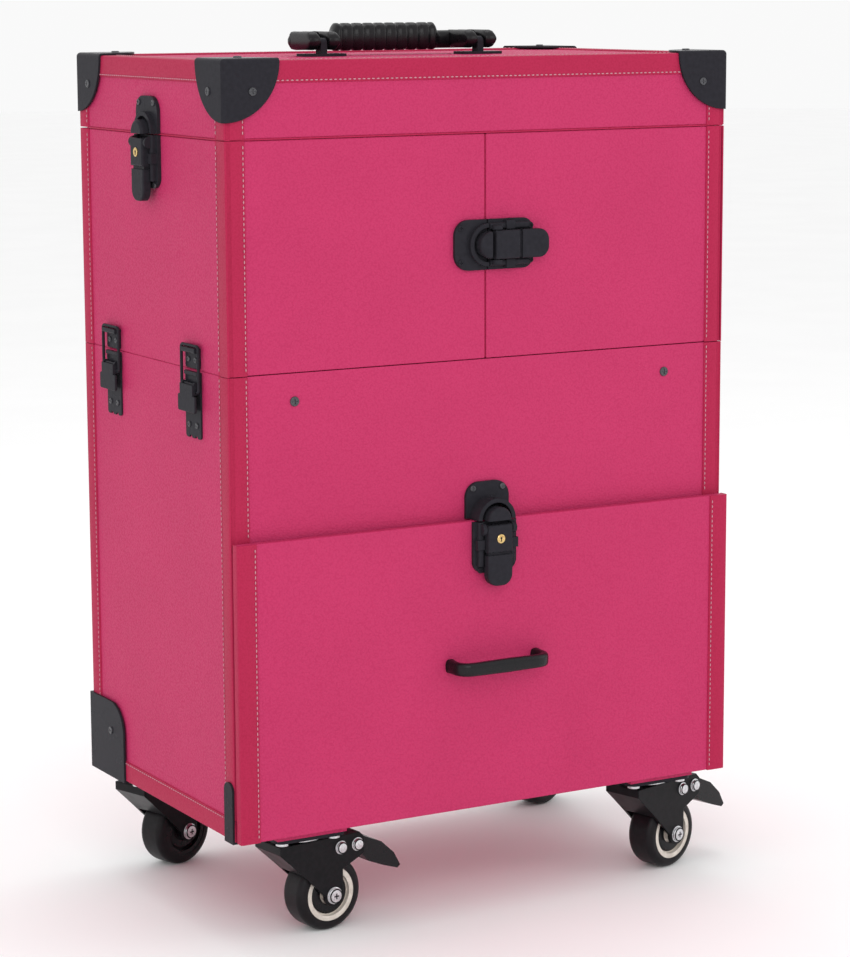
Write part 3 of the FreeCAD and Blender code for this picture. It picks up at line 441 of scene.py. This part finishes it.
def case_strips(build):
    for x, toward in ((out_left, X), (out_right, -X)):
        front, rear = Vector((x, out_front, 0)), Vector((x, out_back, 0))
        drawn_strip(build, corner_section(15, 15, True), front, toward, Y,
                    Z * shelf_z, Z * (seam_z - 0.2 * MM))
        drawn_strip(build, corner_section(board_leg, 15), front, toward, Y,
                    Z * (skirt_z + 0.2 * MM), Z * shelf_z)
        drawn_strip(build, [(v, u) for u, v in flat_section(15)], front, toward, Y,
                    Z * (seam_z + 0.2 * MM), Z * upper_top)
        for z0, z1 in ((skirt_z + 0.2 * MM, seam_z - 0.2 * MM), (seam_z + 0.2 * MM, upper_top)):
            drawn_strip(build, corner_section(15, 15), rear, toward, -Y, Z * z0, Z * z1)
        drawn_strip(build, [(v, u) for u, v in flat_section(15)], Vector((x, 0, base_z)), toward, Z,
                    Y * out_front, Y * out_back)
    drawn_strip(build, [(v, u) for u, v in flat_section(15)], Vector((0, out_back, base_z)), -Y, Z,
                X * (out_left + strip_thick), X * (out_right - strip_thick))


def case_sewing(build):
    total = 0
    for x, way in ((out_left, -X), (out_right, X)):
        for y in (out_front + sew_in, out_back - sew_in):
            for z0, z1 in ((skirt_z, seam_z - 1 * MM), (seam_z + 1 * MM, upper_top - 1 * MM)):
                total += sewn_line(build, (x, y, z0), (x, y, z1), way)
        total += sewn_line(build, (x, out_front + 3 * MM, base_z + sew_in),
                           (x, out_back - 3 * MM, base_z + sew_in), way)
        inner = x - way.x * sew_in
        total += sewn_line(build, (inner, out_front, shelf_z + 8 * MM),
                           (inner, out_front, seam_z - 1 * MM), -Y)
        for z0, z1 in ((skirt_z, seam_z - 1 * MM), (seam_z + 1 * MM, upper_top - 1 * MM)):
            total += sewn_line(build, (inner, out_back, z0), (inner, out_back, z1), Y)
    total += sewn_line(build, (out_left + 4 * MM, out_back, base_z + sew_in),
                       (out_right - 4 * MM, out_back, base_z + sew_in), Y)
    print("stitches on the case:", total)


finish_piece(add_mesh("case_corner_strips", case_strips), "case", strip_leather,
             replaces=["case_bindings"])
finish_piece(add_mesh("case_stitching", case_sewing), "case", thread, 60)

# %% [markdown]
# The lid's strips go round all four top edges, with short creased pieces at its corners. They
# meet under the metal corner guards, so their ends never show.

# %% Strips of the lid
def lid_strips(build):
    top = lid_high.z
    for y, toward in ((out_front, Y), (out_back, -Y)):
        drawn_strip(build, corner_section(15, 15), Vector((0, y, top)), -Z, toward,
                    X * out_left, X * out_right)
    for x, toward in ((out_left, X), (out_right, -X)):
        drawn_strip(build, corner_section(15, 15), Vector((x, 0, top)), -Z, toward,
                    Y * (out_front + strip_thick), Y * (out_back - strip_thick))
        for y, inward, crease in ((out_front, Y, True), (out_back, -Y, False)):
            drawn_strip(build, corner_section(15, 15, crease), Vector((x, y, 0)), toward, inward,
                        Z * lid_low.z, Z * (top - 14 * MM))


def lid_sewing(build):
    top = lid_high.z
    total = 0
    for y, way in ((out_front, -Y), (out_back, Y)):
        total += sewn_line(build, (out_left + 12 * MM, y, top - sew_in),
                           (out_right - 12 * MM, y, top - sew_in), way)
        total += sewn_line(build, (out_left + 12 * MM, y - way.y * sew_in, top),
                           (out_right - 12 * MM, y - way.y * sew_in, top), Z)
    for x, way in ((out_left, -X), (out_right, X)):
        total += sewn_line(build, (x, out_front + 12 * MM, top - sew_in),
                           (x, out_back - 12 * MM, top - sew_in), way)
        total += sewn_line(build, (x - way.x * sew_in, out_front + 12 * MM, top),
                           (x - way.x * sew_in, out_back - 12 * MM, top), Z)
        for y, face in ((out_front, -Y), (out_back, Y)):
            total += sewn_line(build, (x, y - face.y * sew_in, lid_low.z + 1 * MM),
                               (x, y - face.y * sew_in, top - 15 * MM), way)
            total += sewn_line(build, (x - way.x * sew_in, y, lid_low.z + 1 * MM),
                               (x - way.x * sew_in, y, top - 15 * MM), face)
    print("stitches on the lid:", total)


finish_piece(add_mesh("lid_edge_strips", lid_strips), "lid", strip_leather,
             replaces=["lid_bindings"])
finish_piece(add_mesh("lid_stitching", lid_sewing), "lid", thread, 60)

# %% [markdown]
# Each door carries the front leg of its corner strip, which is the leather hinge it swings
# on. The drawer front has a strip wrapped round each end.

# %% Strips of the doors and the drawer front
for side, toward in (("left", X), ("right", -X)):
    low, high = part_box("door_%s_binding" % side)
    edge = low.x if side == "left" else high.x
    inner = edge + toward.x * (sew_in - 1.6 * MM)
    drop = [(max(u - 1.6, 0.0), v) for u, v in leg_section(15, True)[1:]]

    def door_strip(build):
        section = [(0.0, strip_thick / MM)] + drop
        drawn_strip(build, section, Vector((edge, out_front, 0)), toward, Y, Z * low.z, Z * high.z)

    finish_piece(add_mesh("door_%s_strip" % side, door_strip), "door_" + side, strip_leather,
                 replaces=["door_%s_binding" % side])
    finish_piece(add_mesh("door_%s_stitching" % side, lambda b: sewn_line(
        b, (inner, out_front, low.z + 1 * MM), (inner, out_front, high.z - 1 * MM), -Y)),
        "door_" + side, thread, 60)

slab_low, slab_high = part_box("drawer_front_bindings")


def drawer_strips(build):
    for x, toward in ((slab_low.x, X), (slab_high.x, -X)):
        drawn_strip(build, corner_section(15, (slab_high.y - slab_low.y) / MM), Vector((x, slab_low.y, 0)),
                    toward, Y, Z * slab_low.z, Z * slab_high.z)


def drawer_sewing(build):
    for x in (slab_low.x + sew_in, slab_high.x - sew_in):
        sewn_line(build, (x, slab_low.y, slab_low.z + 1 * MM), (x, slab_low.y, slab_high.z - 1 * MM), -Y)


finish_piece(add_mesh("drawer_front_strips", drawer_strips), "drawer", strip_leather,
             replaces=["drawer_front_bindings"])
finish_piece(add_mesh("drawer_stitching", drawer_sewing), "drawer", thread, 60)

# %% [markdown]
# Turned pieces, such as bolt heads and key barrels, are a half outline spun round an axis. One
# helper does them all: it takes (radius, height) pairs, a centre and the axis direction.

# %% Turn an outline round an axis
def turned(build, outline, centre, axis, steps=28):
    axis = Vector(axis).normalized()
    across = axis.orthogonal().normalized()
    over = axis.cross(across)
    rings = []
    for radius, height in outline:
        if radius == 0:
            rings.append([build.verts.new(centre + axis * (height * MM))])
        else:
            rings.append([build.verts.new(centre + axis * (height * MM)
                                          + (across * math.cos(a) + over * math.sin(a)) * (radius * MM))
                          for a in [2 * math.pi * k / steps for k in range(steps)]])
    for low_ring, high_ring in zip(rings, rings[1:]):
        for k in range(steps):
            corners = [low_ring[k % len(low_ring)], low_ring[(k + 1) % len(low_ring)],
                       high_ring[(k + 1) % len(high_ring)], high_ring[k % len(high_ring)]]
            unique = list(dict.fromkeys(corners))
            if len(unique) > 2:
                build.faces.new(unique)


joint_at = {joint["name"]: (Vector(joint.get("pos_m", (0, 0, 0))), Vector(joint["axis"]))
            for joint in frame["joints"]}

# %% [markdown]
# Moulded handles have no flat sides: their section is a squared-off oval that changes along
# the handle. Rings of that section are set along a path and joined, which is called a loft.

# %% Loft rings along a path
def oval_ring(build, centre, wide_way, high_way, half_wide, half_high, square=3.0, points=20):
    ring = []
    for k in range(points):
        c, s = math.cos(2 * math.pi * k / points), math.sin(2 * math.pi * k / points)
        reach = (abs(c) ** square + abs(s) ** square) ** (-1 / square)
        ring.append(build.verts.new(centre + wide_way * (c * reach * half_wide)
                                    + high_way * (s * reach * half_high)))
    return ring


def join_rings(build, rings):
    for low_ring, high_ring in zip(rings, rings[1:]):
        for k in range(len(low_ring)):
            after = (k + 1) % len(low_ring)
            build.faces.new((low_ring[k], low_ring[after], high_ring[after], high_ring[k]))
    build.faces.new(rings[0][::-1])
    build.faces.new(rings[-1])


def rounded_path(corners, radius, step):
    """Points along a line with rounded corners, about step apart."""
    points = []
    line = [Vector(c) for c in corners]
    for index in range(len(line) - 1):
        a, b = line[index], line[index + 1]
        way = (b - a).normalized()
        first = a + way * (radius if index else 0)
        last = b - way * (radius if index < len(line) - 2 else 0)
        count = max(1, round((last - first).length / step))
        points += [first.lerp(last, k / count) for k in range(count + 1)]
        if index < len(line) - 2:
            turn_to = (line[index + 2] - b).normalized()
            for k in range(1, 6):
                t = k / 6
                points.append((last * (1 - t) ** 2) + (b * 2 * t * (1 - t))
                              + ((b + turn_to * radius) * t * t))
    return points


# %% [markdown]
# Welts close the seams: a leather lip under the lid's front and sides, and one down the edge
# of the left door, so that no light falls through the gaps.

# %% Welts in the seams
def bar_on_path(build, points, z_low, z_high):
    """Bar of even height along (outer, inner) pairs of points in plan."""
    rings = []
    for outer, inner in points:
        rings.append([build.verts.new(Vector((x, y, z))) for (x, y), z in
                      ((outer, z_low), (inner, z_low), (inner, z_high), (outer, z_high))])
    join_rings(build, rings)


def lid_welt(build):
    far, near = 0.8 * MM, 3.4 * MM
    points = [((lid_low.x + far, lid_high.y - 12 * MM), (lid_low.x + near, lid_high.y - 12 * MM)),
              ((lid_low.x + far, lid_low.y + far), (lid_low.x + near, lid_low.y + near)),
              ((lid_high.x - far, lid_low.y + far), (lid_high.x - near, lid_low.y + near)),
              ((lid_high.x - far, lid_high.y - 12 * MM), (lid_high.x - near, lid_high.y - 12 * MM))]
    bar_on_path(build, points, strip_high.z + 0.25 * MM, lid_low.z + 0.2 * MM)


finish_piece(add_mesh("lid_welt", lid_welt), "lid", strip_leather, 30)
left_low, left_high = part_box("door_left_panel")
right_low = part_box("door_right_panel")[0]


def door_welt(build):
    x0, x1 = left_high.x - 0.1 * MM, right_low.x - 0.25 * MM
    front, back = left_low.y + 1.2 * MM, left_high.y - 0.5 * MM
    bar_on_path(build, [((x0, back), (x1, back)), ((x0, front), (x1, front))],
                left_low.z + 0.5 * MM, left_high.z - 0.5 * MM)


finish_piece(add_mesh("door_welt", door_welt), "door_left", strip_leather, 30)
print("lid seam", round((lid_low.z - strip_high.z) * 1000, 2), "mm, door seam",
      round((right_low.x - left_high.x) * 1000, 2), "mm")

# %% [markdown]
# Inside, the upper cabinet and the lid are lined with dark cloth over thin foam. Each panel is
# a sheet that swells a little in the middle and sinks to the board at its edges.

# %% Cloth lining
def padded_sheet(build, corner, along, across, columns=28, rows=14, puff=1.3 * MM):
    """Padded panel on the rectangle corner, corner + along, corner + across."""
    out = along.cross(across).normalized()
    grid = []
    for r in range(rows + 1):
        row = []
        for c in range(columns + 1):
            u, v = c / columns, r / rows
            swell = (1 - abs(2 * u - 1) ** 10) * (1 - abs(2 * v - 1) ** 8)
            row.append(build.verts.new(corner + along * u + across * v + out * (0.3 * MM + puff * swell)))
        grid.append(row)
    for low_row, high_row in zip(grid, grid[1:]):
        for c in range(columns):
            build.faces.new((low_row[c], low_row[c + 1], high_row[c + 1], high_row[c]))


def lined_box(build, low, high, front_open):
    """Line the inside of a box that is open to the front, or else open downwards."""
    size = high - low
    wide, deep, tall = X * size.x, Y * size.y, Z * size.z
    padded_sheet(build, low + tall, deep, wide)
    padded_sheet(build, low, deep, tall)
    padded_sheet(build, low + wide, tall, deep)
    padded_sheet(build, low + deep, wide, tall)
    if front_open:
        padded_sheet(build, low, wide, deep)
    else:
        padded_sheet(build, low, tall, wide)


board, shelf_half, lid_wall = 8 * MM, 3 * MM, 6 * MM
box_low, box_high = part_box("upper_case_boards")
shelf_z = (box_low.z + box_high.z) / 2
gap = Vector((0.2, 0.2, 0.2)) * MM
for name, bottom, top in (("lower", box_low.z + board, shelf_z - shelf_half),
                          ("upper", shelf_z + shelf_half, box_high.z - board)):
    low = Vector((box_low.x + board, box_low.y + 22 * MM, bottom)) + gap
    high = Vector((box_high.x - board, box_high.y - board, top)) - gap
    finish_piece(add_mesh("lining_%s_shelf" % name, lambda b: lined_box(b, low, high, True)),
                 "case", cloth, 30)
shell_low, shell_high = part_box("lid_shell")
low = shell_low + Vector((lid_wall, lid_wall, 1 * MM)) + gap
high = shell_high - Vector((lid_wall, lid_wall, lid_wall)) - gap
finish_piece(add_mesh("lining_lid", lambda b: lined_box(b, low, high, False)),
             "lid", cloth, 30)
print("lining sheets in the upper cabinet and the lid")

# %% [markdown]
# Key barrels: the drawer and the lid lock, so three of the four levers carry a small brass
# barrel with a keyhole. The barrel stands on the square part of the lever.

# %% Key barrels
def cross_bar(build, centre, long_way, short_way, out, long_half, short_half, height):
    """A small raised bar with sloping sides, used for slots and keyholes."""
    low_ring = [build.verts.new(centre + long_way * a * long_half + short_way * b * short_half)
                for a, b in ((-1, -1), (1, -1), (1, 1), (-1, 1))]
    high_ring = [build.verts.new(centre + out * height
                                 + (long_way * a * long_half + short_way * b * short_half) * 0.86)
                 for a, b in ((-1, -1), (1, -1), (1, 1), (-1, 1))]
    for k in range(4):
        build.faces.new((low_ring[k], low_ring[(k + 1) % 4], high_ring[(k + 1) % 4], high_ring[k]))
    build.faces.new(high_ring)
    build.faces.new(low_ring[::-1])


lever_rise, lever_run = 4.5 * MM, 6.8 * MM
for joint_name, body, out, toward_catch in (
        ("drawer_latch_lift", "drawer_latch_lever", -Y, Z),
        ("lid_latch_left_lift", "lid_latch_lever_left", -X, Z),
        ("lid_latch_right_lift", "lid_latch_lever_right", X, Z)):
    barrel_at = joint_at[joint_name][0] + out * lever_rise - toward_catch * lever_run
    finish_piece(add_mesh(body + "_key_barrel", lambda b: turned(
        b, [(3.2, -0.4), (3.2, 0.45), (2.8, 0.75), (2.2, 0.75), (1.9, 0.45), (0, 0.45)], barrel_at, out)),
        body, brass, 30)

    def keyhole(build):
        turned(build, [(0.75, 0.3), (0.75, 0.62), (0.6, 0.66), (0, 0.66)],
               barrel_at + toward_catch * 0.5 * MM, out, 14)
        cross_bar(build, barrel_at - toward_catch * 0.9 * MM + out * 0.3 * MM, toward_catch,
                  out.cross(toward_catch), out, 1.1 * MM, 0.32 * MM, 0.33 * MM)

    finish_piece(add_mesh(body + "_keyhole", keyhole), body, black_metal, 30)

# %% [markdown]
# The forks are held by plated bolts. Each has a domed head, and the axle bolt has a cross
# recess. A dark disc over the middle of each hub is painted shade for its recess, and a
# bright race ring turns between the fork and its mounting plate.

# %% Bolts and race rings of the casters
bolt_face = 15.9 * MM


def bolt_heads(build, centre, axis, radius):
    for way in (axis, -axis):
        dome = [(radius, 0.7), (radius, 1.7), (radius * 0.86, 2.5), (radius * 0.55, 2.85), (0, 2.95)]
        turned(build, [(radius + 0.5, 0.0), (radius + 0.5, 0.5)] + dome, centre + way * bolt_face, way)


def recess(build, centre, axis):
    for way in (axis, -axis):
        flat = way.cross(Z).normalized()
        for long_way, short_way in ((flat, Z), (Z, flat)):
            cross_bar(build, centre + way * (bolt_face + 2.6 * MM), long_way, short_way, way,
                      2.3 * MM, 0.55 * MM, 0.42 * MM)


for corner in ("front_left", "front_right", "rear_left", "rear_right"):
    axle_at, axle_way = joint_at["spin_" + corner]
    swivel_at = joint_at["swivel_" + corner][0]
    trail_way = Vector((axle_at.x - swivel_at.x, axle_at.y - swivel_at.y, 0)).normalized()
    front_axle = joint_at["spin_front_left"][0]
    pedal_up = joint_at["brake_front_left"][0].z - front_axle.z
    pedal_out = 20.0 * MM
    spots = [axle_at + trail_way * (pedal_out - shift) + Z * pedal_up for shift in (0, 14.0 * MM)]

    def fork_bolts(build):
        bolt_heads(build, axle_at, axle_way, 5.6)
        for spot in spots:
            bolt_heads(build, spot, axle_way, 4.3)

    finish_piece(add_mesh("bolts_" + corner, fork_bolts), "fork_" + corner, zinc, 30)
    # A dark disc over the middle of each hub: painted shade for the hub's recess.
    def hub_shade_discs(build):
        for way in (axle_way, -axle_way):
            turned(build, [(14.8, 8.0), (14.8, 8.7), (14.2, 9.3), (12.5, 9.7),
                           (8.4, 9.9), (7.9, 9.4), (7.9, 8.0)], axle_at, way, 40)

    finish_piece(add_mesh("hub_shade_disc_" + corner, hub_shade_discs), "wheel_" + corner, black_plastic, 40)
    finish_piece(add_mesh("bolt_recess_" + corner, lambda b: recess(b, axle_at, axle_way)),
                 "fork_" + corner, black_metal, 30)
    race_at = Vector((swivel_at.x, swivel_at.y, swivel_at.z))
    finish_piece(add_mesh("race_ring_" + corner, lambda b: turned(
        b, [(16.1, 0.5), (17.2, 0.6), (17.9, 1.3), (17.9, 2.3), (17.2, 3.1), (16.1, 3.2)], race_at, Z, 40)),
        "case", zinc, 40)
print("bolts and rings on four casters")

# %% [markdown]
# The drawer's bow handle stands a finger's depth off the front. Its feet flare a little where
# they meet the leather.

# %% Bow handle of the drawer
pull_low, pull_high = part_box("drawer_pull")
pull_z = (pull_low.z + pull_high.z) / 2


def bow_handle(build):
    half = 3.1 * MM
    corners = [(pull_low.x + half + 1 * MM, pull_high.y, pull_z),
               (pull_low.x + half, pull_low.y + half, pull_z),
               (pull_high.x - half, pull_low.y + half, pull_z),
               (pull_high.x - half - 1 * MM, pull_high.y, pull_z)]
    path = rounded_path(corners, 11 * MM, 2.2 * MM)
    rings = []
    for index, point in enumerate(path):
        way = (path[min(index + 1, len(path) - 1)] - path[max(index - 1, 0)]).normalized()
        foot = max(0.0, 1 - (pull_high.y - point.y) / (5 * MM))
        middle_share = 1 - min(1.0, abs(point.x - middle.x) / (25 * MM))
        rings.append(oval_ring(build, point, way.cross(Z), Z, half * (1 + 0.3 * foot),
                               (4.7 + 0.3 * middle_share + 0.3 * foot) * MM, 3.2))
    join_rings(build, rings)


finish_piece(add_mesh("drawer_bow_handle", bow_handle), "drawer", black_plastic, 60,
             ["drawer_pull"])

# %% [markdown]
# The carry handle lies folded on the lid. Each arm is forked round the post that holds its
# pin, and a thicker ribbed grip sits in the middle of the bar between the arms.

# %% Carry handle
grip_low, grip_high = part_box("carry_handle")
pin_at = joint_at["carry_handle_fold"][0]
arm_x = (grip_high.x - grip_low.x) / 2 - 12.5 * MM
bar_y = pin_at.y + 26 * MM


def grip_bar(build):
    rings = []
    for step in range(-70, 71):
        along = abs(step) * 1.1
        grip = 1 - min(1.0, max(0.0, (along - 39.5) / 4))
        grip = grip * grip * (3 - 2 * grip)
        groove = 0.5 - 0.5 * math.cos(2 * math.pi * along / 9)
        groove = max(0.0, 1 - 2.6 * groove) if along < 39 else 0.0
        end = math.sqrt(max(0.12, 1 - (max(0.0, along - 71) / 6) ** 2))
        centre = Vector((pin_at.x + step * 1.1 * MM, bar_y, pin_at.z + (1.5 + 2.5 * grip) * MM))
        rings.append(oval_ring(build, centre, Y, Z, (6 + (2 - 1.5 * groove) * grip) * end * MM,
                               (6.5 + (3.5 - 1.2 * groove) * grip) * end * MM, 2.7, 24))
    join_rings(build, rings)


def arm_rail(build, x, start, half_wide):
    rings = []
    for step in range(24):
        y = start + (bar_y - start) * step / 23
        before_pin = min(0.0, (y - pin_at.y) / (6.2 * MM))
        half_high = (6.5 * math.sqrt(max(0.1, 1 - before_pin ** 2))) * MM
        centre = Vector((x, y, pin_at.z + 1.9 * MM))
        rings.append(oval_ring(build, centre, X, Z, half_wide, half_high, 3.4, 20))
    join_rings(build, rings)


def carry_handle(build):
    grip_bar(build)
    for side in (-1, 1):
        centre = pin_at.x + side * arm_x
        for way in (-1, 1):
            arm_rail(build, centre + way * 7.9 * MM, pin_at.y - 6.0 * MM, 4.5 * MM)
        arm_rail(build, centre, pin_at.y + 10.7 * MM, 4.6 * MM)


finish_piece(add_mesh("carry_handle_bow", carry_handle), "carry_handle", black_plastic, 60,
             ["carry_handle"])
